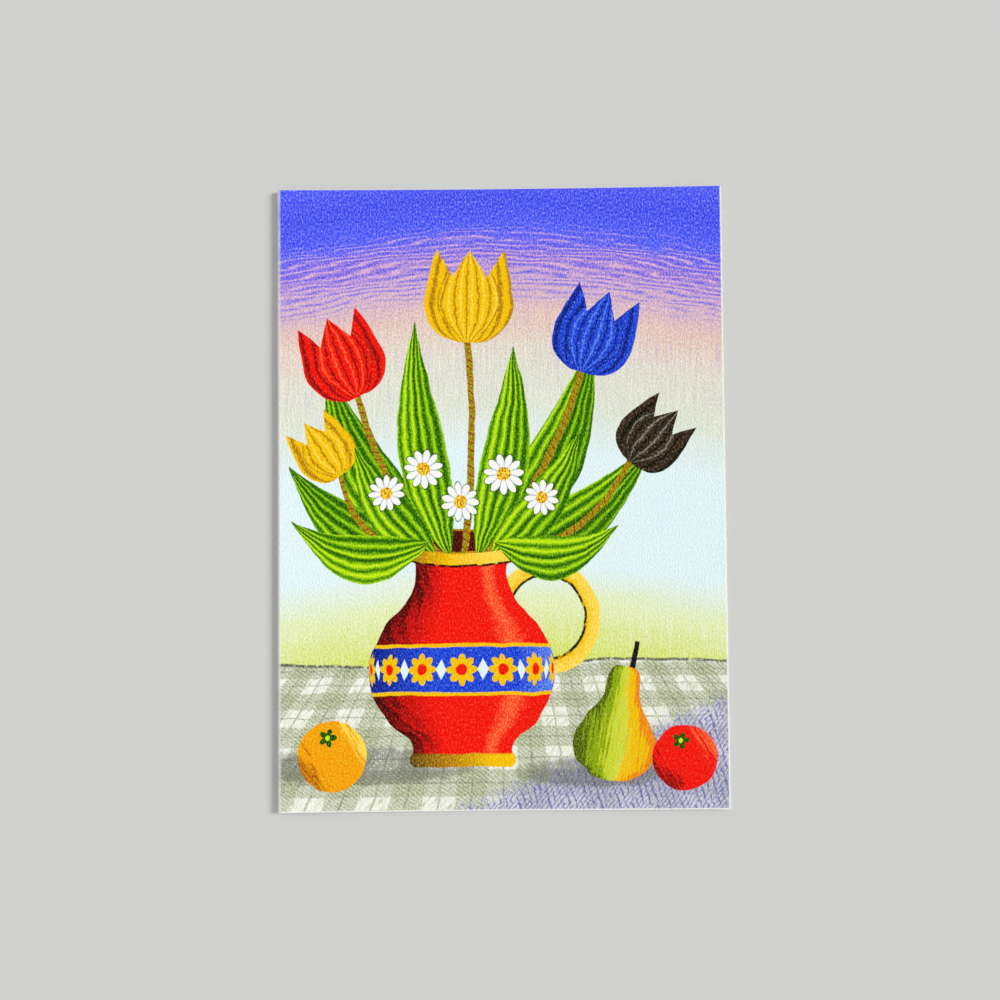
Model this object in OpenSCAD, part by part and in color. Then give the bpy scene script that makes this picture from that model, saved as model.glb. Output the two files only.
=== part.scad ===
// Folded notecard, lying closed on its back.
// The fold runs along Y at the -X side, the front leaf is on top and +Y is the top of the card.
// The origin is on the table, under the middle of the closed card.

/* [Sheet] */
// Height of the card, along the fold
card_h = 158.75; // [100:0.25:200]
// Width of a leaf: half of the flat sheet, along the middle of the board
leaf_w = 114.3; // [80:0.1:150]
// Thickness of the board
board_t = 0.4; // [0.2:0.05:0.6]

/* [Fold] */
// Inside radius of the fold when the card is closed
fold_r = 0.5; // [0.3:0.05:1]
// Radius of the bead that the scoring rule presses out along the inside of the fold
bead_r = 0.15; // [0.05:0.05:0.2]
// Gap between the closed leaves where the bowed front leaf comes lowest
leaf_gap = 0.1; // [0.05:0.05:0.2]
// Hairline between the bent fold and the leaf that turns
hinge_gap = 0.02; // [0.01:0.01:0.05]

/* [Hidden] */

// The bent band of board, closed
mid_r = fold_r + board_t / 2;
outer_r = fold_r + board_t;
hinge_gap_a = hinge_gap / mid_r * 180 / PI;

// What is left of a leaf when the fold has taken half of its own arc
flat_w = leaf_w - PI * mid_r / 2;

// Middle of the fold's arc, and the score bead on its inside, which the front leaf turns about
fold_x = (outer_r - flat_w) / 2;
fold_z = outer_r;
hinge_x = fold_x - fold_r;

// The front leaf is a shallow arc: fold and free edge stand level, the middle dips between them
bow_dip = 2 * fold_r - leaf_gap;
bow_a = 4 * bow_dip / flat_w * 180 / PI;
bow_r = flat_w * flat_w / (8 * bow_dip);

// Facets of a full circle, fine enough for a board's thickness
bead_facets = 48;
fold_facets = 180;
bow_facets = 7200;

// Directions seen along the fold, measured from +X towards +Z
down_a = 270;
front_a = 90 - bow_a;

// Board bent about a line along Y: its middle lies at radius r
module bent_board(r, from, sweep, facets) {
    rotate([90, 0, 0])
        rotate([0, 0, from])
            rotate_extrude(angle = sweep, $fn = facets)
                translate([r - board_t / 2, -card_h / 2])
                    square([board_t, card_h]);
}

// Plain half of the sheet, flat on the table
module back_leaf() {
    color("whitesmoke")
        translate([fold_x, -card_h / 2, 0])
            cube([flat_w, card_h, board_t]);
}

// Half ring of board from under its own middle round to where the front leaf starts, with the score bead
module fold() {
    color("lavender") {
        translate([fold_x, 0, fold_z])
            bent_board(mid_r, front_a + hinge_gap_a, down_a - front_a - hinge_gap_a, fold_facets);
        translate([hinge_x, 0, fold_z])
            rotate([90, 0, 0])
                cylinder(r = bead_r, h = card_h, center = true, $fn = bead_facets);
    }
}

// Printed half of the sheet, leaving the fold along its own tangent
module front_leaf() {
    color("lightsteelblue")
        translate([fold_x, 0, fold_z])
            rotate([0, -front_a, 0])
                translate([mid_r + bow_r, 0, 0])
                    bent_board(bow_r, 180, 2 * bow_a, bow_facets);
}

back_leaf();
fold();
front_leaf();
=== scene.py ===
import math

import bpy
import numpy as np
from mathutils import Matrix, Vector


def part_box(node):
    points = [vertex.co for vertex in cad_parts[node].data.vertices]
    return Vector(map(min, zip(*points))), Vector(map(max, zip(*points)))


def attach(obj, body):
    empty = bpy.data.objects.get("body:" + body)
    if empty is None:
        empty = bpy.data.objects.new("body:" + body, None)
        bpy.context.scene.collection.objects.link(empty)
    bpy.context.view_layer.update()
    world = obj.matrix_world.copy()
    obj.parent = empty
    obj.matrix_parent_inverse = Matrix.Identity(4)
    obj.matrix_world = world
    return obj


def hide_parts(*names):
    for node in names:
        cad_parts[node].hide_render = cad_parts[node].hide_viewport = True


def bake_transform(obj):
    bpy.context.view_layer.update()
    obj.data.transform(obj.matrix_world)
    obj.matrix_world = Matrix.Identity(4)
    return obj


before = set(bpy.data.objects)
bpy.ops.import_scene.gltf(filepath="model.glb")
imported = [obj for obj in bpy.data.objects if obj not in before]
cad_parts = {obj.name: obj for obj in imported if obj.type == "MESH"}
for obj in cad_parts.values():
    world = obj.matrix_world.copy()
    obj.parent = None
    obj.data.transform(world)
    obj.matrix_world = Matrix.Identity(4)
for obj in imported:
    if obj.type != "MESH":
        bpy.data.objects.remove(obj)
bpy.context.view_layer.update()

MM = 0.001

# The card's sizes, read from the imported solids, in metres
back_low, back_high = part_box("back_leaf")
front_low, front_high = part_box("front_leaf")
BOARD = back_high[2] - back_low[2]
CARD_H = back_high[1] - back_low[1]
FLAT_W = back_high[0] - back_low[0]
CLOSED_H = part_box("fold")[1][2]
FOLD_X = back_low[0]
OUTER_R = CLOSED_H / 2
INNER_R = OUTER_R - BOARD
MID_R = (OUTER_R + INNER_R) / 2
BEAD_R = 0.15 * MM

# The front leaf's shallow arc: it dips between the fold and the free edge
BOW_DIP = front_high[2] - front_low[2] - BOARD
BOW_ANGLE = 4 * BOW_DIP / FLAT_W
BOW_R = FLAT_W ** 2 / (8 * BOW_DIP)

# Lengths along the middle of the board, from the crease line at the tip of the fold
FRONT_START = MID_R * (math.pi / 2 + BOW_ANGLE)
FRONT_END = FRONT_START + FLAT_W
BACK_START = -MID_R * math.pi / 2
BACK_END = BACK_START - FLAT_W

# The picture's own measures, in millimetres from the crease and from the bottom edge
PICTURE_W = FRONT_END / MM
PICTURE_H = CARD_H / MM


# Camera, floor and light

CAMERA_PLACE = Vector((0.0008, -0.0100, 0.2557))
CAMERA_PITCH = math.radians(2.03)
CAMERA_YAW = math.radians(0.25)
CAMERA_ROLL = math.radians(-0.50)
CAMERA_NEAR = 0.01
SENSOR = 36.0
FOCAL_SHARE = 1.0


def add_camera():
    """A camera almost straight above the card, turned by yaw, then pitch, then roll."""
    data = bpy.data.cameras.new("camera")
    data.sensor_width = SENSOR
    data.lens = SENSOR * FOCAL_SHARE
    data.clip_start = CAMERA_NEAR
    camera = bpy.data.objects.new("camera", data)
    turn = (
        Matrix.Rotation(CAMERA_YAW, 4, "Y")
        @ Matrix.Rotation(CAMERA_PITCH, 4, "X")
        @ Matrix.Rotation(CAMERA_ROLL, 4, "Z")
    )
    camera.matrix_world = Matrix.Translation(CAMERA_PLACE) @ turn
    bpy.context.collection.objects.link(camera)
    bpy.context.scene.camera = camera


SKY_LIGHT = (0.58, 0.58, 0.58, 1.0)
BACKDROP = (0.638, 0.638, 0.624, 1.0)
KEY_FROM = Vector((2.40, 0.50, 1.60))
KEY_STRENGTH = 2.52
KEY_SPREAD = math.radians(19.5)
FLOOR_REACH = 12.0
FLOOR_SIDES = 96
FLOOR_DROP = 0.02 * MM


def add_studio():
    """Pale round floor, an even sky that looks like the floor, and one large soft light from the right."""
    world = bpy.data.worlds.new("studio")
    world.use_nodes = True
    sky = Brush(world.node_tree)
    path = sky.node("ShaderNodeLightPath").outputs
    seen = Field(sky, path["Is Camera Ray"])
    for ray in ("Is Glossy Ray", "Is Transmission Ray"):
        seen = seen.most(path[ray])
    sky.feed(world.node_tree.nodes["Background"].inputs["Color"], sky.tint(seen, SKY_LIGHT, BACKDROP))
    bpy.context.scene.world = world
    bpy.context.scene.view_settings.view_transform = "Standard"

    data = bpy.data.lights.new("key_light", "SUN")
    data.energy = KEY_STRENGTH
    data.angle = KEY_SPREAD
    key_light = bpy.data.objects.new("key_light", data)
    key_light.location = KEY_FROM
    key_light.rotation_euler = KEY_FROM.to_track_quat("Z", "Y").to_euler()
    bpy.context.collection.objects.link(key_light)

    turn = np.linspace(0.0, 2 * np.pi, FLOOR_SIDES, endpoint=False)
    rim = np.stack([FLOOR_REACH * np.cos(turn), FLOOR_REACH * np.sin(turn), np.zeros(FLOOR_SIDES)], axis=1)
    mesh = bpy.data.meshes.new("floor")
    mesh.from_pydata(rim, [], [list(range(FLOOR_SIDES))])
    floor = bpy.data.objects.new("floor", mesh)
    floor.location = (0.0, 0.0, -FLOOR_DROP)
    bpy.context.collection.objects.link(floor)
    return floor


# Board: the sheet's surfaces

# Profile of a cut edge, outer face to inner face: how far inside the outline, and where in the thickness
EDGE_INSET = np.array([0.10, 0.04, 0.00, 0.00, 0.03, 0.07]) * MM
EDGE_LEVEL = np.array([0.50, 0.46, 0.34, -0.36, -0.47, -0.50])


def fold_point(along, level):
    """Half ring about the fold's middle: the angle is the length along the board over the middle radius.

    The score bead swells the inner face towards the middle with a bell curve about the crease.
    """
    angle = np.pi - along / MID_R
    bell = np.exp(-((along / (BEAD_R * MID_R / INNER_R)) ** 2))
    inward = np.clip(-level / 0.5, 0.0, 1.0)
    radius = MID_R + level * BOARD - BEAD_R * bell * inward
    return FOLD_X + radius * np.cos(angle), OUTER_R + radius * np.sin(angle)


def back_point(along, level):
    """Flat board with its outer face on the table, running away from the fold as along falls."""
    return FOLD_X + BACK_START - along, BOARD / 2 - level * BOARD


def front_point(along, level):
    """Arc of radius BOW_R that leaves the fold along its tangent and rises again to the free edge."""
    start = np.pi / 2 - BOW_ANGLE
    middle_x = FOLD_X + (MID_R + BOW_R) * np.cos(start)
    middle_z = OUTER_R + (MID_R + BOW_R) * np.sin(start)
    angle = np.pi + start + (along - FRONT_START) / BOW_R
    radius = BOW_R - level * BOARD
    return middle_x + radius * np.cos(angle), middle_z + radius * np.sin(angle)


# The free edge of the front leaf stands a little lower towards the bottom corner
SETTLE = 0.45 * MM
SETTLE_POWER = 4


def settle(along, up):
    """Drop of the front leaf: a power of the share of its width, times the share of height still above."""
    share = np.clip((along - FRONT_START) / FLAT_W, 0.0, 1.0)
    return -SETTLE * share ** SETTLE_POWER * (0.5 - up / CARD_H)


def no_settle(along, up):
    """The rest of the sheet doesn't drop."""
    return np.zeros_like(along)


# Lines of the grids this close to each border keep the faces' shading even up to it
SUPPORT = 0.012 * MM


def grid_lines(count, length):
    """Shares of a length: evenly spread, with one more line just inside either end."""
    even = np.linspace(0, 1, count)
    beside = SUPPORT / length
    return np.concatenate([[0, beside], even[1:-1], [1 - beside, 1]])


def grid_loop(columns, rows):
    """Indices round the border of a grid of columns x rows points, in order."""
    index = np.arange(columns * rows).reshape(columns, rows)
    return np.concatenate([index[:-1, 0], index[-1, :-1], index[:0:-1, -1], index[0, :0:-1]])


# The map that pictures of a board are baked through: six columns of its full height, with gaps round them.
# The four edges have narrow columns, and the two faces share the rest.
BAKE_GAP = 0.004
BAKE_EDGE = 0.014
BAKE_FACES = 1 - 4 * BAKE_EDGE - 7 * BAKE_GAP


def bake_places(flat, quads, border, sides, outer_share):
    """Places of all face corners on the map: columns for the outer face, the inner face and the four edges.

    Across a face's column goes the length along the sheet, and across an edge's column the place in the
    thickness. Up a column goes the height, or the length of the edge. outer_share is the outer face's part of
    the room for both faces.
    """
    room = 1 - 2 * BAKE_GAP
    outer_w = BAKE_FACES * outer_share
    outer = flat[quads] * (outer_w, room) + BAKE_GAP
    inner_x = outer_w + 2 * BAKE_GAP
    inner = flat[quads[:, ::-1]] * (BAKE_FACES - outer_w, room) + (inner_x, BAKE_GAP)

    side = np.repeat(np.arange(4), sides)
    loop = flat[border]
    start = np.take_along_axis(loop, side[:, None] % 2, axis=1)
    end = np.take_along_axis(np.roll(loop, -1, axis=0), side[:, None] % 2, axis=1)
    length = np.concatenate([start, end, end, start], axis=1) * room + BAKE_GAP
    foot = BAKE_FACES + 3 * BAKE_GAP + side[:, None] * (BAKE_EDGE + BAKE_GAP)
    rings = len(EDGE_INSET) - 1
    places = [outer, inner]
    for ring in range(rings):
        depth = np.array([ring + 1, ring + 1, ring, ring]) / rings
        places.append(np.stack([foot + BAKE_EDGE * depth, length], axis=-1))
    return np.concatenate(places)


# Points of the grids up the card
ROWS = 129

# Order of a board's materials
OUTER_SLOT = 0
INNER_SLOT = 1
EDGE_SLOT = 2


def add_board(name, place, drop, ends, cut_end, columns, outer_share, materials):
    """Closed stretch of board between two lengths along the sheet.

    A point is place(length, level in the thickness) across, and its height along the fold. The two faces are
    grids over length and height. The edge is EDGE_INSET and EDGE_LEVEL carried round the outline, pulled in
    at the top, at the bottom and, where cut_end is 1, at the second end. A map named sheet keeps length and
    height in millimetres, and a second one lays the faces and edges side by side.
    """
    lines = grid_lines(columns, abs(ends[1] - ends[0])), grid_lines(ROWS, CARD_H)
    across, up = np.meshgrid(*lines, indexing="ij")
    border = grid_loop(*across.shape)
    last_ring = len(EDGE_INSET) - 1
    shares = [(across.ravel(), up.ravel(), 0)]
    shares += [(across.ravel()[border], up.ravel()[border], ring) for ring in range(1, last_ring)]
    shares.append((across.ravel(), up.ravel(), last_ring))

    way = np.sign(ends[1] - ends[0])
    points, sheet = [], []
    for share_along, share_up, ring in shares:
        high = ends[1] - way * EDGE_INSET[ring] * cut_end
        along = ends[0] + (high - ends[0]) * share_along
        height = (CARD_H - 2 * EDGE_INSET[ring]) * (share_up - 0.5)
        x, z = place(along, EDGE_LEVEL[ring])
        points.append(np.stack([x, height, z + drop(along, height)], axis=1))
        sheet.append(np.stack([along / MM, height / MM + PICTURE_H / 2], axis=1))
    sizes = [len(block) for block in points]
    starts = np.concatenate([[0], np.cumsum(sizes)[:-1]])

    cell = np.arange(across.size).reshape(across.shape)
    quads = np.stack([cell[:-1, :-1], cell[1:, :-1], cell[1:, 1:], cell[:-1, 1:]], axis=-1).reshape(-1, 4)
    loops = [border + starts[0]]
    loops += [np.arange(len(border)) + start for start in starts[1:-1]]
    loops.append(border + starts[-1])
    rims = [
        np.stack([lower, np.roll(lower, -1), np.roll(upper, -1), upper], axis=1)
        for upper, lower in zip(loops[:-1], loops[1:])
    ]
    faces = np.concatenate([quads + starts[0], quads[:, ::-1] + starts[-1], *rims])
    flat = np.stack([across.ravel(), up.ravel()], axis=1)
    sides = [len(line) - 1 for line in lines] * 2
    baked = bake_places(flat, quads, border, sides, outer_share)
    if way < 0:
        faces = faces[:, ::-1]
        baked = baked[:, ::-1]

    mesh = bpy.data.meshes.new(name)
    mesh.from_pydata(np.concatenate(points), [], faces.tolist())
    kind = np.full(len(faces), EDGE_SLOT, dtype=np.int32)
    kind[: len(quads)] = OUTER_SLOT
    kind[len(quads): 2 * len(quads)] = INNER_SLOT
    for material in materials:
        mesh.materials.append(material)
    mesh.polygons.foreach_set("material_index", kind)
    mesh.polygons.foreach_set("use_smooth", kind != EDGE_SLOT)
    corner = np.empty(len(mesh.loops), dtype=np.int32)
    mesh.loops.foreach_get("vertex_index", corner)
    mesh.uv_layers.new(name="sheet").data.foreach_set("uv", np.concatenate(sheet)[corner].ravel())
    mesh.uv_layers.new(name="OFBake").data.foreach_set("uv", baked.ravel())
    mesh.update()
    mesh.validate()
    piece = bpy.data.objects.new(name, mesh)
    bpy.context.collection.objects.link(piece)
    return piece


# Nodes from formulas


def ink(red, green, blue):
    """Linear colour of a display colour in levels of 0 to 255, by the sRGB curve."""
    share = np.array([red, green, blue]) / 255
    linear = np.where(share <= 0.04045, share / 12.92, ((share + 0.055) / 1.055) ** 2.4)
    return (*linear.tolist(), 1.0)


# Half the width of a painted shape's soft edge, in millimetres
EDGE_SOFT = 0.09

# How far apart the patterns of neighbouring seeds lie
SEED_APART = (40, 70)

# What every layer of the picture is given
SHARED = ("sheet", "u", "v", "hand_u", "hand_v", "fine", "mottle", "streak", "colour")


class Field:
    """A number that varies over the sheet: the output of a node. Arithmetic on it adds Math nodes."""

    def __init__(self, brush, socket):
        self.brush = brush
        self.socket = socket

    def math(self, operation, *others):
        """One Math node, with this field as its first value."""
        made = self.brush.node("ShaderNodeMath", dict(enumerate((self, *others))), operation=operation)
        return Field(self.brush, made.outputs[0])

    def __add__(self, other):
        return self.math("ADD", other)

    def __sub__(self, other):
        return self.math("SUBTRACT", other)

    def __rsub__(self, other):
        return self.math("MULTIPLY_ADD", -1.0, other)

    def __mul__(self, other):
        return self.math("MULTIPLY", other)

    def __truediv__(self, other):
        return self.math("DIVIDE", other)

    def __abs__(self):
        return self.math("ABSOLUTE")

    __radd__ = __add__
    __rmul__ = __mul__

    def least(self, other):
        """The smaller of the two."""
        return self.math("MINIMUM", other)

    def most(self, other):
        """The larger of the two."""
        return self.math("MAXIMUM", other)

    def wave(self):
        """Triangle wave of period 1: 0 at whole numbers, 1 half way between."""
        return self.math("PINGPONG", 0.5) * 2.0

    def rise(self, start, end):
        """0 on the side of start, 1 on the side of end, smooth between them."""
        values = {"Value": self, "From Min": start, "From Max": end}
        made = self.brush.node("ShaderNodeMapRange", values, interpolation_type="SMOOTHSTEP", clamp=False)
        return Field(self.brush, made.outputs["Result"])

    def between(self, start, full, fade, end):
        """1 from full to fade, and 0 before start and after end."""
        return self.rise(start, full) * self.rise(end, fade)

    def inside(self):
        """1 inside an outline, where the distance outside it is below 0, with a soft edge."""
        return self.rise(EDGE_SOFT, -EDGE_SOFT)

    def curve(self, points):
        """Smooth curve through the points, for values of 0 to 1."""
        made = self.brush.node("ShaderNodeFloatCurve", {"Value": self})
        line = made.mapping.curves[0]
        line.points[0].location = points[0]
        line.points[1].location = points[-1]
        for point in points[1:-1]:
            line.points.new(*point)
        made.mapping.update()
        return Field(self.brush, made.outputs[0])


class Brush:
    """Adds nodes to one tree. Each call's nodes come after those it reads, and colours are laid in turn."""

    def __init__(self, tree):
        self.tree = tree
        self.colour = None

    def read_sheet(self):
        """Places in millimetres, from the piece's own map: u from the crease, v from the bottom edge."""
        self.sheet = self.node("ShaderNodeUVMap", uv_map="sheet").outputs["UV"]
        parts = self.node("ShaderNodeSeparateXYZ", {"Vector": self.sheet})
        self.u = Field(self, parts.outputs["X"])
        self.v = Field(self, parts.outputs["Y"])

    def node(self, kind, values=None, **settings):
        """A new node with these settings, and these values fed to its inputs."""
        made = self.tree.nodes.new(kind)
        for key, value in settings.items():
            setattr(made, key, value)
        for key, value in (values or {}).items():
            self.feed(made.inputs[key], value)
        return made

    def feed(self, socket, value):
        """Links a field or an output to an input, or sets a plain value on it."""
        if isinstance(value, Field):
            value = value.socket
        if isinstance(value, bpy.types.NodeSocket):
            self.tree.links.new(value, socket)
        else:
            socket.default_value = value

    def noise(self, across, up, detail, seed, turn=0.0):
        """Cloudy noise of 0 to 1 with so many lumps in a millimetre across and up, turned in degrees."""
        values = {
            "Vector": self.sheet, "Location": (SEED_APART[0] * seed, SEED_APART[1] * seed, 0.0),
            "Rotation": (0.0, 0.0, math.radians(turn)), "Scale": (1 / across, 1 / up, 1.0),
        }
        place = self.node("ShaderNodeMapping", values, vector_type="TEXTURE")
        values = {"Vector": place.outputs[0], "Scale": 1.0, "Detail": detail}
        made = self.node("ShaderNodeTexNoise", values, noise_dimensions="2D")
        return Field(self, made.outputs[0])

    def tint(self, mask, below, above):
        """Colour that goes from below to above with the mask."""
        # A Mix node's colours are its inputs 6 and 7 and its output 2
        values = {0: mask, 6: below, 7: above}
        return self.node("ShaderNodeMix", values, data_type="RGBA").outputs[2]

    def lay(self, mask, colour, cover=1.0):
        """Lays a colour over what is there, where the mask is 1, with so much cover."""
        if cover < 1.0:
            mask = mask * cover
        self.colour = self.tint(mask, self.colour, colour)

    def layer(self, paint, *values):
        """Lays what paint draws, in a node group of its own that is given the shared fields."""
        tree = bpy.data.node_groups.new(paint.__name__, "ShaderNodeTree")
        kinds = {"sheet": "NodeSocketVector", "colour": "NodeSocketColor"}
        for name in SHARED:
            tree.interface.new_socket(name, in_out="INPUT", socket_type=kinds.get(name, "NodeSocketFloat"))
        tree.interface.new_socket("colour", in_out="OUTPUT", socket_type=kinds["colour"])
        inner = Brush(tree)
        given = inner.node("NodeGroupInput")
        for name in SHARED:
            socket = given.outputs[name]
            setattr(inner, name, socket if name in kinds else Field(inner, socket))
        paint(inner, *values)
        inner.node("NodeGroupOutput", {"colour": inner.colour})
        group = self.node("ShaderNodeGroup", node_tree=tree)
        for name in SHARED:
            self.feed(group.inputs[name], getattr(self, name))
        self.colour = group.outputs["colour"]

    def ramp(self, value, stops):
        """Colour along a row of stops, each a place of 0 to 1 and a colour."""
        made = self.node("ShaderNodeValToRGB", {"Fac": value})
        for index, (place, colour) in enumerate(stops):
            stop = made.color_ramp.elements[index] if index < 2 else made.color_ramp.elements.new(place)
            stop.position = place
            stop.color = colour
        return made.outputs["Color"]

    def along(self, x, y, lean):
        """Lengths across and along a line from (x, y) that leans so many degrees right of upright."""
        side = math.cos(math.radians(lean))
        rise = math.sin(math.radians(lean))
        across = self.hand_v.math("MULTIPLY_ADD", -rise, y * rise - x * side)
        across = self.hand_u.math("MULTIPLY_ADD", side, across)
        along = self.hand_v.math("MULTIPLY_ADD", side, -x * rise - y * side)
        along = self.hand_u.math("MULTIPLY_ADD", rise, along)
        return across, along

    def finish(self, height, depth, roughness, gloss):
        """Matte shader with the laid colour, the height field as fine relief, and so much gloss."""
        bump = self.node("ShaderNodeBump", {"Strength": 1.0, "Distance": depth, "Height": height})
        values = {"Base Color": self.colour, "Roughness": roughness, "Normal": bump.outputs["Normal"]}
        shader = self.node("ShaderNodeBsdfPrincipled", values)
        shader.inputs["Specular IOR Level"].default_value = gloss
        self.node("ShaderNodeOutputMaterial", {"Surface": shader.outputs["BSDF"]})


def new_material(name):
    """Empty material and the brush for its nodes."""
    material = bpy.data.materials.new(name)
    material.use_nodes = True
    material.node_tree.nodes.clear()
    return material, Brush(material.node_tree)


# Colours of the board and of the inks

WHITE = ink(240, 240, 234)
WARM_WHITE = ink(237, 236, 230)
EDGE_WHITE = ink(246, 246, 242)
EDGE_SHADE = ink(222, 221, 213)
FLOOR_LIGHT = ink(208, 208, 206)
FLOOR_SHADE = ink(206, 206, 204)

VIOLET = ink(86, 100, 246)
DEEP_VIOLET = ink(76, 86, 238)
COMB_VIOLET = ink(98, 92, 232)
LILAC = ink(166, 134, 220)
ROSE_LILAC = ink(212, 176, 204)
ROSE = ink(236, 190, 206)
PEACH = ink(230, 199, 186)
CREAM = ink(227, 223, 208)
CHALK = ink(250, 248, 240)
MINT = ink(223, 229, 211)
PALE_BLUE = ink(225, 243, 246)
LIME_WASH = ink(228, 238, 184)
GLOW = ink(211, 224, 70)

OLIVE_LIGHT = ink(230, 233, 214)
OLIVE = ink(196, 204, 168)
OLIVE_SHADE = ink(160, 169, 128)
LILAC_GREY = ink(186, 182, 212)
HATCH = ink(138, 136, 186)
HATCH_DARK = ink(98, 96, 168)
PENCIL = ink(92, 94, 84)
GREY = ink(128, 132, 112)
DARK = ink(22, 19, 8)

LEAF_VEIN = ink(36, 84, 2)
LEAF_DEEP = ink(44, 100, 2)
LEAF_DARK = ink(58, 120, 2)
LEAF_MID = ink(112, 172, 6)
LEAF_BRIGHT = ink(138, 198, 10)
LEAF_LIGHT = ink(194, 232, 20)
STEM_GREEN = ink(150, 140, 16)

BLACK_RED = ink(60, 8, 6)
MAROON = ink(96, 8, 6)
DARK_RED = ink(150, 12, 8)
BRICK = ink(196, 14, 8)
RED = ink(242, 22, 8)
CORAL = ink(252, 96, 50)
BROWN = ink(98, 76, 18)
DARK_BROWN = ink(58, 44, 30)
OCHRE = ink(186, 132, 12)
AMBER = ink(190, 110, 6)
ORANGE = ink(244, 164, 6)
YELLOW = ink(244, 194, 4)
LIGHT_YELLOW = ink(252, 218, 78)
NAVY = ink(14, 32, 130)
BLUE = ink(33, 71, 212)
LIGHT_BLUE = ink(92, 130, 236)
PEAR_SHADE = ink(84, 104, 8)
PEAR_GREEN = ink(140, 168, 12)
PEAR_LIGHT = ink(198, 212, 40)
PEAR_BLUSH = ink(240, 140, 20)


# The picture on the front: flowers in a painted jug, with fruit, on a checked cloth.
# Names that end in NOISE hold lumps in a millimetre across and up, detail, seed and perhaps a turn.
# Names that end in TONES hold the stops of a row of colours. Lengths are in millimetres.

# Levels of the mottle between which a drawn line breaks up
BROKEN = (0.28, 0.46)


def distance(right, above):
    """Distance from a middle: the root of the sum of the squares."""
    return (right * right + above * above).math("SQRT")


def turned_shape(across, half, share, high):
    """1 inside a shape with the same side left and right: half its width, for each share of its height."""
    return (abs(across) - half).most((abs(share - 0.5) - 0.5) * high).inside()


def bent_line(art, start, lean, length, bend):
    """Lengths across a line that bows sideways, the share of its length, and the bow there.

    The bow is the share times what is left of it: a quarter half way, where the line lies bend to one side.
    """
    across, along = art.along(*start, lean)
    share = along / length
    bow = share * (1.0 - share)
    return bow.math("MULTIPLY_ADD", -4.0 * bend, across), share, bow


def star(art, x, y, radius, points, dip, turn=0.0):
    """Distance outside a star, its swing and the distance to its middle: the radius swings with the angle."""
    right = art.hand_u - x
    above = art.hand_v - y
    far = distance(right, above)
    angle = above.math("ARCTAN2", right) + math.radians(turn)
    swing = abs((angle * (points / 2)).math("COSINE"))
    return far - (swing * dip + (1.0 - dip)) * radius, swing, far


# Bands of the wash: height of each at the sides of the card, and its colour
WASH_BANDS = (
    (30.0, GLOW), (46.0, LIME_WASH), (56.0, PALE_BLUE), (84.0, PALE_BLUE), (96.0, MINT), (108.0, CREAM),
    (119.0, PEACH), (127.0, ROSE_LILAC), (134.0, LILAC), (141.0, VIOLET), (149.0, DEEP_VIOLET),
    (158.0, VIOLET),
)

# How far the bands rise at the middle of the card, and how far they drift
WASH_ARCH = 7.0
WASH_DRIFT = 4.4
DRIFT_NOISE = (0.035, 0.22, 2.0, 3.0)

# Comb lines: their step and wander, and the pattern and levels that break them
COMB_STEP = 1.38
COMB_WANDER = 0.7
COMB_NOISE = (0.05, 0.16, 1.0, 8.0)
COMB_BREAK_NOISE = (0.16, 0.8, 2.0, 5.0)
COMB_BREAK = (0.30, 0.56)

# Heights where dark lines, pale lines and lilac streaks start, are full, fade and end
DARK_HEIGHTS = (121.0, 128.0, 138.0, 147.0)
PALE_HEIGHTS = (124.0, 130.0, 137.0, 145.0)
LILAC_HEIGHTS = (80.0, 112.0, 128.0, 140.0)

# Heights below which chalk streaks start and are full
CHALK_HEIGHTS = (128.0, 108.0)


def paint_wash(art):
    """Wash in arched bands from violet through lilac, peach and cream to pale blue, with comb lines."""
    drift = art.noise(*DRIFT_NOISE)
    arch = (art.u * (math.pi / PICTURE_W)).math("SINE")
    band = art.v - arch * WASH_ARCH + drift * WASH_DRIFT - WASH_DRIFT / 2
    art.colour = art.ramp(band / PICTURE_H, [(height / PICTURE_H, colour) for height, colour in WASH_BANDS])
    comb = (band / COMB_STEP + art.noise(*COMB_NOISE) * COMB_WANDER).wave()
    broken = art.noise(*COMB_BREAK_NOISE).rise(*COMB_BREAK)
    art.lay(comb.rise(0.35, 0.95) * band.between(*DARK_HEIGHTS) * broken, COMB_VIOLET, cover=0.75)
    art.lay(comb.rise(0.45, 0.05) * band.between(*PALE_HEIGHTS) * broken, ROSE, cover=0.70)
    art.lay(art.streak.rise(0.50, 0.78) * band.rise(*CHALK_HEIGHTS), CHALK, cover=0.30)
    art.lay(art.streak.rise(0.50, 0.25) * band.between(*LILAC_HEIGHTS), LILAC, cover=0.22)


# The cloth: its far edge and that edge's swell, its checks, and the height at which its lines would meet
CLOTH_TOP = 37.0
CLOTH_SWELL = 0.9
CLOTH_SWELL_STEP = 19.0
CHECK_W = 8.4
CHECK_DEPTH = 7.6
VANISH_H = 105.0
FIBRE_NOISE = (1.5, 0.34, 3.0, 14.0, -38.0)
PRESS_NOISE = (0.35, 0.35, 2.0, 15.0)
CLOTH_TONES = ((0.28, OLIVE), (0.42, OLIVE_LIGHT), (0.70, CHALK))

# Pencil strokes: the way across them, their step, how far the press shifts them and the fibres fray them
FILL_WAY = (0.60, 0.80)
FILL_STEP = 0.85
FILL_FRAY = 0.6
HATCH_WAY = (0.80, -0.60)
HATCH_STEP = 0.95
CROSS_WAY = (0.95, 0.30)
CROSS_STEP = 1.5
HATCH_FRAY = 0.5
PRESS_SHIFT = 0.8

# Cover of the checks' strokes: the least, and how much more there is on a stroke
FILL_LEAST = 0.40
FILL_SWING = 0.55

# The dim corner: the slope of its border, where that starts and how far the fibres fray it
DIM_SLOPE = 0.42
DIM_START = 24.0
DIM_FRAY = 9.0


def strokes(art, way, step):
    """Numbers of the strokes across a drawn patch: the length along the way, over the step."""
    return (art.hand_u * way[0] + art.hand_v * way[1]) / step


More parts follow.
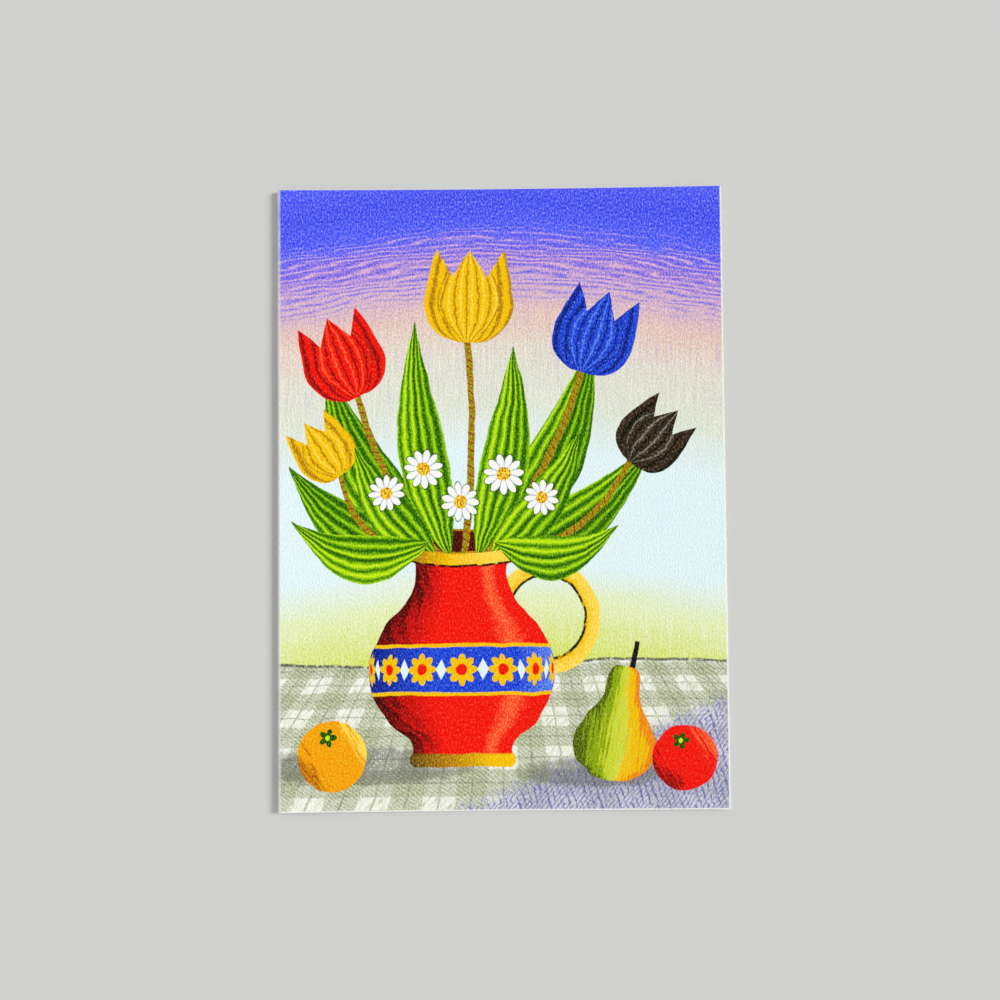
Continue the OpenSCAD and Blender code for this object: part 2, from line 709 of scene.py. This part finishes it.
def paint_cloth(art):
    """Checked cloth in simple perspective, hatched with pencil, and lilac where the light leaves it.

    Seen from the front, a share of the vanishing height is left above each point. Its place across the cloth
    is its distance from the middle over that share, and its depth is its height over that share.
    """
    edge = art.hand_v - CLOTH_TOP + (art.u / CLOTH_SWELL_STEP).math("SINE") * CLOTH_SWELL
    cloth = edge.inside()
    fibre = art.noise(*FIBRE_NOISE)
    press = art.noise(*PRESS_NOISE)
    art.lay(cloth, art.ramp(fibre, CLOTH_TONES))

    left = 1.0 - art.hand_v / VANISH_H
    across = (art.hand_u - PICTURE_W / 2) / left
    depth = art.hand_v / left
    lines = (strokes(art, FILL_WAY, FILL_STEP) + press * PRESS_SHIFT).wave() + fibre * FILL_FRAY
    filled = lines.rise(0.30, 0.95) * FILL_SWING + FILL_LEAST
    for place, step in ((across, CHECK_W), (depth, CHECK_DEPTH)):
        stripe = (place / (2 * step)).wave().rise(0.46, 0.54)
        art.lay(stripe * filled * cloth, OLIVE_SHADE, cover=0.72)
        line = abs((place / step + 0.5).wave() - 1.0).rise(0.11, 0.05)
        art.lay(line * fibre.rise(0.32, 0.52) * cloth, GREY, cover=0.55)

    dim = (art.hand_u * DIM_SLOPE - art.hand_v + fibre * DIM_FRAY - DIM_START).rise(-3.0, 4.0) * cloth
    art.lay(dim, LILAC_GREY, cover=0.60)
    lines = (strokes(art, HATCH_WAY, HATCH_STEP) + press * PRESS_SHIFT).wave() + fibre * HATCH_FRAY
    art.lay(lines.rise(0.62, 1.05) * dim * press.rise(0.30, 0.55), HATCH, cover=0.8)
    lines = (strokes(art, CROSS_WAY, CROSS_STEP) + press).wave() + fibre * HATCH_FRAY
    art.lay(lines.rise(0.75, 1.15) * dim * press.rise(0.62, 0.44), HATCH_DARK, cover=0.8)
    rim = abs(edge).rise(0.55, 0.15) * art.mottle.rise(0.30, 0.50)
    art.lay(rim, PENCIL, cover=0.9)


# Shades on the cloth: the middle of each, half its width, half its height and its cover
SHADES = ((22.0, 11.5, 30.0, 5.0, 0.75), (80.0, 9.5, 20.0, 4.0, 0.7))


def paint_shade(art, x, y, wide, high, cover):
    """Soft charcoal oval that a standing thing casts on the cloth."""
    right = (art.hand_u - x) / wide
    above = (art.hand_v - y) / high
    spread = right * right + above * above + art.mottle * 0.7
    art.lay(spread.rise(1.5, 0.9) * art.fine.rise(0.28, 0.50), PENCIL, cover)


# The jug: its middle, foot, height and half its greatest width, and its side from foot to rim as shares
JUG_X = 47.0
JUG_FOOT = 11.0
JUG_H = 57.0
JUG_HALF = 23.5
JUG_SIDE = (
    (0.0, 0.52), (0.035, 0.57), (0.075, 0.53), (0.20, 0.80), (0.42, 1.0), (0.60, 0.86), (0.76, 0.56),
    (0.87, 0.49), (1.0, 0.60),
)
JUG_TONES = ((0.02, MAROON), (0.16, BRICK), (0.34, RED), (0.70, RED), (0.79, CORAL), (0.88, RED))
FOOT_TOP = (0.062, 0.055)
FOOT_TONES = ((0.0, BROWN), (0.4, OCHRE), (0.8, YELLOW))

# Hatching on the jug: strokes across half of it and up it, and where it starts and is full on the shaded side
JUG_STROKES_ACROSS = 5.0
JUG_STROKES_UP = 9.0
JUG_SHADED = (-0.45, -0.80)

# The belly band: its foot and height as shares of the jug's, and the flowers round half of it
BAND_FOOT = 0.335
BAND_H = 0.19
BAND_FLOWERS = 2.2
BAND_TONES = ((0.0, NAVY), (0.3, BLUE), (0.8, BLUE), (1.0, LIGHT_BLUE))

# Shapes on the band, as shares of its height: distance of the border lines from its middle and half their
# width, the swing of the petals, and the edges of the flowers, of their eyes and of the diamonds between them
BAND_BORDER = 0.56
BORDER_HALF = (0.055, 0.03)
FLOWER_PETALS = 8
FLOWER_SWING = 0.13
FLOWER_EDGE = (0.26, 0.23)
FLOWER_EYE = (0.15, 0.12)
DIAMOND_SLIM = 1.8
DIAMOND_EDGE = (0.27, 0.22)


def paint_jug(art):
    """Jug with the side JUG_SIDE in red, with a yellow foot and a blue belly band of yellow flowers."""
    right = art.hand_u - JUG_X
    share = (art.hand_v - JUG_FOOT) / JUG_H
    half = share.curve(JUG_SIDE) * JUG_HALF
    inside = turned_shape(right, half, share, JUG_H)
    place = right / half
    lit = place * 0.5 + 0.5
    art.lay(inside, art.ramp(lit + (art.mottle - 0.5) * 0.10, JUG_TONES))
    lines = (place * JUG_STROKES_ACROSS + share * JUG_STROKES_UP + art.mottle * 1.4).wave()
    hatch = lines.rise(0.45, 0.8) * place.rise(*JUG_SHADED)
    art.lay(hatch * inside, BLACK_RED, cover=0.75)

    tall = (share - BAND_FOOT) / BAND_H
    band = abs(tall - 0.5).rise(BAND_BORDER, BAND_BORDER - 0.01) * inside
    art.lay(band, art.ramp(lit, BAND_TONES))
    around = place.least(1.0).most(-1.0).math("ARCSINE") * BAND_FLOWERS
    beside = around.math("PINGPONG", 0.5)
    above = tall - 0.5
    flower = distance(beside, above)
    angle = above.math("ARCTAN2", beside)
    petals = abs((angle * (FLOWER_PETALS / 2)).math("COSINE")) * FLOWER_SWING
    art.lay((flower - petals).rise(*FLOWER_EDGE) * band, YELLOW)
    art.lay(flower.rise(*FLOWER_EYE) * band, RED)
    beside = (around + 0.5).math("PINGPONG", 0.5)
    art.lay((beside * DIAMOND_SLIM + abs(above)).rise(*DIAMOND_EDGE) * band, PALE_BLUE)
    art.lay(abs(abs(above) - BAND_BORDER).rise(*BORDER_HALF) * inside, YELLOW)
    foot = share.rise(*FOOT_TOP) * inside
    art.lay(foot, art.ramp(lit, FOOT_TONES))


# The handle: its middle beside the jug's and above the bottom edge, and half its width and height. Then, as
# shares of those, the middle of its strap and of the line along that, and half the width of both
HANDLE_X = 21.5
HANDLE_Y = 48.5
HANDLE_HALF_W = 13.5
HANDLE_HALF_H = 14.5
HANDLE_STRAP = 0.86
HANDLE_LINE = 0.735
STRAP_HALF = (0.15, 0.135)
LINE_HALF = (0.035, 0.012)
HANDLE_TONES = ((0.15, OCHRE), (0.45, YELLOW), (0.9, LIGHT_YELLOW))


def paint_handle(art):
    """Handle: part of an oval ring at the right of the jug."""
    right = (art.hand_u - JUG_X - HANDLE_X) / HANDLE_HALF_W
    above = (art.hand_v - HANDLE_Y) / HANDLE_HALF_H
    ring = distance(right, above)
    tone = ring * 3.0 + art.mottle * 0.8 - 2.2
    art.lay(abs(ring - HANDLE_STRAP).rise(*STRAP_HALF), art.ramp(tone, HANDLE_TONES))
    art.lay(abs(ring - HANDLE_LINE).rise(*LINE_HALF) * art.mottle.rise(*BROKEN), DARK)


# The mouth: its height on the card, half its width and half its depth as seen, and the edges of its ring and
# of the hole as shares of those
RIM_Y = JUG_FOOT + JUG_H
RIM_HALF = 15.2
RIM_DIP = 3.1
RING_EDGE = (1.03, 0.97)
HOLE_EDGE = (0.86, 0.80)
RING_TONES = ((0.0, BROWN), (0.5, OCHRE), (0.9, YELLOW))
MOUTH_TONES = ((0.1, DARK), (0.8, MAROON))

# The lip's height, and half the width of the line below it
LIP_H = 3.3
LIP_LINE = (0.42, 0.16)
LIP_TONES = ((0.0, BROWN), (0.12, OCHRE), (0.40, YELLOW), (0.80, LIGHT_YELLOW), (0.95, YELLOW))


def paint_mouth(art):
    """Mouth of the jug: a dark oval inside a yellow ring."""
    right = (art.hand_u - JUG_X) / RIM_HALF
    above = (art.hand_v - RIM_Y) / RIM_DIP
    far = distance(right, above)
    art.lay(far.rise(*RING_EDGE), art.ramp(right * 0.5 + 0.5, RING_TONES))
    art.lay(far.rise(*HOLE_EDGE), art.ramp(right * 0.5 + 0.5, MOUTH_TONES))


def paint_lip(art):
    """Front of the rim: a yellow band that hangs below the near half of the mouth's oval."""
    right = (art.hand_u - JUG_X) / RIM_HALF
    near = (1.0 - right * right).most(0.0).math("SQRT") * RIM_DIP
    below = RIM_Y - near - art.hand_v
    inside = (abs(below - LIP_H / 2) - LIP_H / 2).most((abs(right) - 1.0) * RIM_HALF).inside()
    tone = right * 0.5 + 0.5 + (art.mottle - 0.5) * 0.2
    art.lay(inside, art.ramp(tone, LIP_TONES))
    under = abs(below - LIP_H).rise(*LIP_LINE) * abs(right).rise(1.0, 0.97)
    art.lay(under * art.mottle.rise(*BROKEN), BLACK_RED)


# Leaves: distance of the foot from the middle of the mouth, lean, length, width and bow
BACK_LEAVES = (
    (-6.0, -30, 57, 6.2, -5.0), (6.5, 26, 63, 6.4, 5.0), (9.0, 54, 49, 5.8, 5.0), (-9.0, -56, 42, 5.6, -5.0),
)
MIDDLE_LEAVES = (
    (-3.0, -8, 61, 5.4, -3.0), (4.0, 10, 55, 5.4, 3.0), (-6.5, -36, 35, 5.0, -3.0), (7.5, 36, 39, 5.0, 3.0),
)
FRONT_LEAVES = ((-8.0, -80, 36, 5.4, -7.0), (8.5, 82, 32, 5.0, 6.0))

# How far the feet of stems and leaves lie below the rim, and of those leaves that hang over it
SUNK = 4.0
HANGING_SUNK = 0.5

# How much darker the rows of leaves are
BACK_DARK = 0.16
MIDDLE_DARK = 0.0
FRONT_DARK = -0.05

# Fullness and taper of a leaf, the width of one comb stripe, what keeps the stripes apart at its ends, and
# half the width of its vein
LEAF_FULL = 6.4
LEAF_TAPER = 0.62
LEAF_STRIPE = 2.0
LEAF_SPARE = 0.6
VEIN_HALF = (0.42, 0.18)
LEAF_TONES = (
    (0.0, LEAF_DEEP), (0.22, LEAF_DARK), (0.50, LEAF_MID), (0.72, LEAF_BRIGHT), (0.95, LEAF_LIGHT),
)


def paint_leaf(art, start, lean, length, wide, bend, dark):
    """Lance-shaped leaf, combed lengthwise in greens that run together at its ends.

    Half its width is the bow of a bent line times its width, less towards the tip.
    """
    across, share, bow = bent_line(art, start, lean, length, bend)
    half = bow * (LEAF_FULL * wide) * (1.0 - share * LEAF_TAPER)
    inside = (abs(across) - half).inside() * bow.rise(0.0, 0.01)
    place = across / (half + LEAF_SPARE)
    comb = (place * (wide / LEAF_STRIPE) + art.mottle * 0.24).wave()
    tone = comb - place * 0.22 - dark
    art.lay(inside, art.ramp(tone, LEAF_TONES))
    art.lay(inside * abs(across).rise(*VEIN_HALF), LEAF_VEIN, cover=0.75)


# Tulips: where the stem starts beside the middle of the mouth, and its bow. Then the blossom's foot, lean,
# size and three inks
TULIPS = (
    (-5.0, -3.0, (21.0, 105.0), -22, 22.0, DARK_RED, RED, CORAL),
    (5.0, 3.0, (78.0, 111.0), 20, 22.0, NAVY, BLUE, LIGHT_BLUE),
    (0.5, 1.5, (49.0, 119.0), 2, 24.0, OCHRE, YELLOW, LIGHT_YELLOW),
    (8.0, 6.0, (90.0, 88.0), 44, 18.0, DARK, DARK_BROWN, GREY),
    (-8.0, -6.0, (16.5, 85.0), -34, 16.5, OCHRE, YELLOW, LIGHT_YELLOW),
)

# Half the width of a stem, and the step of the marks across it
STEM_HALF = 0.85
STEM_MARK = 2.1
STEM_TONES = ((0.0, BROWN), (0.35, OCHRE), (0.8, STEM_GREEN))

# A blossom's side from foot to tip and half the width of its points as shares of its size, the slope of the
# points, and the width of one comb stripe
CUP_SIDE = ((0.0, 0.12), (0.10, 0.34), (0.30, 0.46), (0.62, 0.45), (1.0, 0.36))
CUP_POINT = 0.18
CUP_SLOPE = 1.7
CUP_STRIPE = 6.2

# Its front petal: fullness and taper, the width of a stripe, and what keeps the stripes apart at its ends
PETAL_FULL = 1.53
PETAL_TAPER = 0.3
PETAL_STRIPE = 9.0
PETAL_SPARE = 0.5


def paint_stem(art, start, end, bend):
    """Bowed stem from start to end in ochre and brown, with short dark marks across it."""
    rise_x = end[0] - start[0]
    rise_y = end[1] - start[1]
    lean = math.degrees(math.atan2(rise_x, rise_y))
    length = math.hypot(rise_x, rise_y)
    across, share, bow = bent_line(art, start, lean, length, bend)
    inside = (abs(across) - STEM_HALF).inside() * bow.rise(-0.004, 0.0)
    marks = (share * (length / STEM_MARK) + across * 0.25).wave()
    art.lay(inside, art.ramp(marks, STEM_TONES))


def paint_blossom(art, start, lean, size, shade, body, light):
    """Tulip: a cup with three points, its front petal paler, combed from the base upwards."""
    across, along = art.along(*start, lean)
    share = along / size
    half = share.curve(CUP_SIDE) * size
    crown = across.math("PINGPONG", CUP_POINT * size) * CUP_SLOPE + along - size
    inside = (abs(across) - half).most(crown).most(0.0 - along).inside()
    place = across / half
    comb = (place * (size / CUP_STRIPE) + art.mottle * 0.35).wave()
    tone = comb - abs(place) * 0.35 + 0.12
    art.lay(inside, art.ramp(tone, ((0.0, shade), (0.45, body), (0.95, body))))
    petal = share * (1.0 - share) * (1.0 - share * PETAL_TAPER) * (PETAL_FULL * size)
    front = (abs(across) - petal).inside() * share.rise(0.0, 0.02)
    comb = (across / (petal + PETAL_SPARE) * (size / PETAL_STRIPE) + art.mottle * 0.4).wave()
    art.lay(front * inside, art.ramp(comb, ((0.05, shade), (0.30, body), (0.72, body), (1.0, light))))
    line = abs(abs(across) - petal).rise(0.34, 0.14) * inside * share.rise(0.05, 0.2)
    art.lay(line * art.mottle.rise(0.30, 0.46), shade, cover=0.8)


# Daisies: the middle of each, its radius and its turn in degrees
DAISIES = (
    (28.0, 80.5, 4.6, 8), (37.5, 86.5, 5.0, 19), (46.8, 78.0, 4.8, 0), (58.0, 85.0, 5.2, 27),
    (67.5, 79.0, 4.5, 13),
)

# Petals of a daisy, the dip between them and its eye as shares of its radius, and the width of its outline
DAISY_PETALS = 11
DAISY_DIP = 0.34
DAISY_EYE = 0.34
DAISY_OUTLINE = 0.35
PETAL_TONES = ((0.30, LILAC_GREY), (0.55, PALE_BLUE), (0.9, CHALK))
EYE_TONES = ((0.35, AMBER), (0.5, YELLOW), (0.7, LIGHT_YELLOW))


def paint_daisy(art, x, y, radius, turn):
    """Daisy: a star of white petals round a yellow eye."""
    outside, swing, far = star(art, x, y, radius, DAISY_PETALS, DAISY_DIP, turn)
    art.lay((outside - DAISY_OUTLINE).inside(), LEAF_VEIN, cover=0.85)
    art.lay(outside.inside(), art.ramp(swing + art.mottle * 0.4, PETAL_TONES))
    eye = (far - DAISY_EYE * radius).inside()
    art.lay(eye, art.ramp(art.fine, EYE_TONES))


# The pear: the foot, lean, height and half the greatest width, and its side from foot to top as shares
PEAR = (84.0, 7.5, 9.0, 29.0, 10.5)
PEAR_SIDE = (
    (0.0, 0.18), (0.06, 0.62), (0.28, 1.0), (0.50, 0.80), (0.72, 0.46), (0.92, 0.36), (1.0, 0.10),
)
PEAR_TONES = (
    (0.10, PEAR_SHADE), (0.18, PEAR_GREEN), (0.34, PEAR_GREEN), (0.40, PEAR_LIGHT), (0.62, GLOW),
    (0.68, YELLOW), (0.84, YELLOW), (0.90, PEAR_BLUSH),
)
PEAR_NOISE = (1.6, 0.12, 3.0, 16.0)

# The stalk: its lean, half its width, and its span as shares of the pear's height
STALK_LEAN = 1.6
STALK_HALF = (0.75, 0.5)
STALK_SPAN = (0.90, 0.93, 1.22, 1.24)


def paint_pear(art, x, y, lean, high, wide):
    """Pear: yellow-green with an orange blush, dotted, with a dark stalk."""
    across, along = art.along(x, y, lean)
    share = along / high
    half = share.curve(PEAR_SIDE) * wide
    stalk = abs(across - share * STALK_LEAN).rise(*STALK_HALF) * share.between(*STALK_SPAN)
    art.lay(stalk, DARK)
    inside = turned_shape(across, half, share, high)
    brushed = art.noise(*PEAR_NOISE, -lean)
    place = across / half * 0.5 + 0.5 + (brushed - 0.5) * 0.55
    art.lay(inside, art.ramp(place, PEAR_TONES))
    art.lay(inside * art.fine.rise(0.62, 0.70), BROWN, cover=0.7)


# Round fruit: the middle of each, its radius and three inks
ROUND_FRUIT = (
    (103.0, 13.0, 8.2, DARK_RED, RED, CORAL),
    (14.0, 14.0, 8.8, AMBER, ORANGE, LIGHT_YELLOW),
)
FRUIT_NOISE = (1.5, 0.14, 3.0, 17.0, 32.0)

# The star where a stalk was: its place beside and above the fruit's middle, its radius and its eye as shares
# of the fruit's radius, and its points and the dip between them
CALYX_X = -0.12
CALYX_Y = 0.52
CALYX_R = 0.26
CALYX_EYE = 0.07
CALYX_POINTS = 5
CALYX_DIP = 0.55


def paint_round(art, x, y, radius, shade, body, light):
    """Round fruit with a pitted skin, a lit patch and the small star where its stalk was."""
    right = (art.hand_u - x) / radius
    above = (art.hand_v - y) / radius
    far = distance(right, above)
    inside = far.rise(1.0 + EDGE_SOFT / radius, 1.0 - EDGE_SOFT / radius)
    brushed = art.noise(*FRUIT_NOISE)
    tone = right * 0.35 + above * 0.25 + 0.5 + (brushed - 0.5) * 0.6
    art.lay(inside, art.ramp(tone, ((0.14, shade), (0.26, body), (0.76, body), (0.88, light))))
    art.lay(inside * art.fine.rise(0.62, 0.72), shade, cover=0.5)
    star_x = x + CALYX_X * radius
    star_y = y + CALYX_Y * radius
    outside, _, middle = star(art, star_x, star_y, CALYX_R * radius, CALYX_POINTS, CALYX_DIP)
    art.lay(outside.inside(), LEAF_VEIN)
    art.lay((middle - CALYX_EYE * radius).inside(), LEAF_LIGHT)


def lay_leaves(art, leaves, sunk, dark):
    """One row of leaves, each in a layer of its own."""
    for foot, lean, length, wide, bend in leaves:
        art.layer(paint_leaf, (JUG_X + foot, RIM_Y - sunk), lean, length, wide, bend, dark)


def paint_picture(art):
    """All layers, back to front."""
    art.layer(paint_wash)
    art.layer(paint_cloth)
    for shade in SHADES:
        art.layer(paint_shade, *shade)
    art.layer(paint_handle)
    art.layer(paint_jug)
    art.layer(paint_mouth)
    lay_leaves(art, BACK_LEAVES, SUNK, BACK_DARK)
    for foot, bend, start, *blossom in TULIPS:
        art.layer(paint_stem, (JUG_X + foot, RIM_Y - SUNK), start, bend)
        art.layer(paint_blossom, start, *blossom)
    lay_leaves(art, MIDDLE_LEAVES, SUNK, MIDDLE_DARK)
    for daisy in DAISIES:
        art.layer(paint_daisy, *daisy)
    art.layer(paint_lip)
    lay_leaves(art, FRONT_LEAVES, HANGING_SUNK, FRONT_DARK)
    art.layer(paint_pear, *PEAR)
    for fruit in ROUND_FRUIT:
        art.layer(paint_round, *fruit)


# Faces of the board

# The board's tooth: its pattern on print and on bare board, its depth, and the gloss of the board
TOOTH_ACROSS = 2.4
TOOTH_UP = 1.4
PRINT_TOOTH_NOISE = (TOOTH_ACROSS, TOOTH_UP, 2.0, 9.0)
BARE_TOOTH_NOISE = (TOOTH_ACROSS, TOOTH_UP, 2.0, 13.0)
TOOTH_DEPTH = 0.11 * MM
BOARD_GLOSS = 0.06

# Roughness of print and of bare board: the least, and how much more there is on the tooth's tops
PRINT_ROUGH = 0.62
PRINT_ROUGH_SWING = 0.22
BARE_ROUGH = 0.7
BARE_ROUGH_SWING = 0.2

# Patterns that all layers share, and how far the drawing hand sways
FINE_NOISE = (2.7, 1.6, 2.0, 1.0)
MOTTLE_NOISE = (0.55, 0.55, 4.0, 2.0)
STREAK_NOISE = (1.7, 0.10, 2.0, 4.0)
SWAY_NOISE = (0.16, 0.16, 1.6, 6.0)
SWAY_UP_NOISE = (0.16, 0.16, 1.6, 7.0)
HAND_SWAY = 0.9

# Density of the ink: the most of it, and how much less there is in the finest hollows
INK_MOST = 1.95
INK_LESS = 1.9

# Wear, and along the crease a pale line of rubbed ink widened by a painted highlight on the fold:
# distances from a cut edge, from the crease and from the fold's top corner where it starts and is full, how
# far the fine pattern frays it, how steeply the corner is chipped, and how far the top edge is spared
EDGE_RUB = (0.78, 0.34)
EDGE_FRAY = 0.5
CREASE_WEAR_AND_HIGHLIGHT = (1.60, 1.05)
CREASE_FRAY = 0.6
CORNER_CHIP = (1.9, 1.5)
CHIP_SLOPE = 0.8
TOP_SPARED = 0.25

# Patches along the crease: their pattern, the least cover, how much more there is, and the most
CREASE_NOISE = (0.6, 0.12, 3.0, 18.0)
CREASE_LEAST = 0.30
CREASE_SWING = 0.9
CREASE_MOST = 0.95


def printed_face():
    """Front of the card: the picture, soaked into the board's tooth and rubbed off along fold and edges.

    The pale line along the fold is part rubbed ink and part painted highlight.
    """
    material, art = new_material("printed_face")
    art.read_sheet()
    art.colour = WHITE
    art.fine = art.noise(*FINE_NOISE)
    art.mottle = art.noise(*MOTTLE_NOISE)
    art.streak = art.noise(*STREAK_NOISE)
    sway = art.noise(*SWAY_NOISE)
    sway_up = art.noise(*SWAY_UP_NOISE)
    art.hand_u = sway.math("MULTIPLY_ADD", HAND_SWAY, art.u - HAND_SWAY / 2)
    art.hand_v = sway_up.math("MULTIPLY_ADD", HAND_SWAY, art.v - HAND_SWAY / 2)
    paint_picture(art)

    density = INK_MOST - art.fine * INK_LESS
    art.colour = art.node("ShaderNodeGamma", {"Color": art.colour, "Gamma": density}).outputs[0]
    side = (PICTURE_W - art.u).least(art.v)
    side = side.least((PICTURE_H + TOP_SPARED) - art.v)
    rub = (side + art.fine * EDGE_FRAY).rise(*EDGE_RUB)
    # Pale line along the crease: rubbed ink, made wider by a painted highlight where the rounded fold meets
    # the light
    crease = (art.u + art.fine * CREASE_FRAY).rise(*CREASE_WEAR_AND_HIGHLIGHT)
    chip = (art.u + (PICTURE_H - art.v) * CHIP_SLOPE + art.fine).rise(*CORNER_CHIP)
    crease_wear_and_highlight = crease * (art.noise(*CREASE_NOISE) * CREASE_SWING + CREASE_LEAST).least(CREASE_MOST)
    # Edge white: wear on the cut edges and the corner, and wear plus painted highlight along the crease
    art.lay(rub.most(crease_wear_and_highlight).most(chip), EDGE_WHITE)

    tooth = art.noise(*PRINT_TOOTH_NOISE)
    art.finish(tooth, TOOTH_DEPTH, tooth * PRINT_ROUGH_SWING + PRINT_ROUGH, BOARD_GLOSS)
    return material


# Bare board: detail and seed of its cloud, and the pattern of its fibres
CLOUD_DETAIL = 5.0
CLOUD_SEED = 11.0
BARE_FIBRE_NOISE = (4.2, 1.1, 2.0, 12.0, 20.0)


def bare_board(name, face, shade, lumps):
    """Unprinted board: two close whites clouded by its fibres, with a fine tooth."""
    material, art = new_material(name)
    art.read_sheet()
    cloud = art.noise(lumps, lumps, CLOUD_DETAIL, CLOUD_SEED)
    art.colour = art.ramp(cloud, ((0.25, shade), (0.75, face)))
    fibre = art.noise(*BARE_FIBRE_NOISE)
    art.lay(fibre.rise(0.60, 0.85), shade, cover=0.4)
    tooth = art.noise(*BARE_TOOTH_NOISE)
    art.finish(tooth, TOOTH_DEPTH, tooth * BARE_ROUGH_SWING + BARE_ROUGH, BOARD_GLOSS)
    return material


# The floor's two patterns, in lumps to the metre, its roughness and gloss, and the depth of its grain
FLOOR_CLOUD = {"Scale": 60.0, "Detail": 3.0}
FLOOR_GRAIN = {"Scale": 900.0, "Detail": 2.0}
FLOOR_ROUGH = 0.85
FLOOR_GLOSS = 0.0
GRAIN_DEPTH = 0.02 * MM


def floor_paper():
    """Plain pale ground with a faint cloud, and no gloss, so that it looks alike from every side."""
    material, art = new_material("floor_paper")
    place = art.node("ShaderNodeTexCoord").outputs["Object"]
    cloud = art.node("ShaderNodeTexNoise", {"Vector": place, **FLOOR_CLOUD}).outputs[0]
    art.colour = art.ramp(cloud, ((0.3, FLOOR_SHADE), (0.7, FLOOR_LIGHT)))
    grain = art.node("ShaderNodeTexNoise", {"Vector": place, **FLOOR_GRAIN}).outputs[0]
    art.finish(grain, GRAIN_DEPTH, FLOOR_ROUGH, FLOOR_GLOSS)
    return material


# The pieces, on the card's bodies

# Points of the grids across each piece, and the outer face's part of the map it is baked through
FRONT_COLUMNS = 97
FOLD_COLUMNS = 41
BACK_COLUMNS = 49
FRONT_SHARE = 0.71
EVEN_SHARE = 0.5

# Lumps in a millimetre of the bare board's cloud and of the cut edge's
BARE_LUMPS = 0.16
EDGE_LUMPS = 2.0

add_camera()
floor = add_studio()
floor.data.materials.append(floor_paper())

printed = printed_face()
bare = bare_board("bare_board", WHITE, WARM_WHITE, BARE_LUMPS)
core = bare_board("cut_edge", EDGE_WHITE, EDGE_SHADE, EDGE_LUMPS)
front_faces = (printed, bare, core)
back_faces = (bare, bare, core)

front_ends = (FRONT_START, FRONT_END)
fold_ends = (BACK_START, FRONT_START)
back_ends = (BACK_START, BACK_END)
front = add_board(
    "front_leaf_board", front_point, settle, front_ends, 1, FRONT_COLUMNS, FRONT_SHARE, front_faces,
)
fold = add_board("fold_board", fold_point, no_settle, fold_ends, 0, FOLD_COLUMNS, EVEN_SHARE, front_faces)
back = add_board("back_leaf_board", back_point, no_settle, back_ends, 1, BACK_COLUMNS, EVEN_SHARE, back_faces)
for piece, node in ((front, "front_leaf"), (fold, "fold"), (back, "back_leaf")):
    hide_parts(node)
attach(front, "front")
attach(back, "back")
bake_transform(fold)
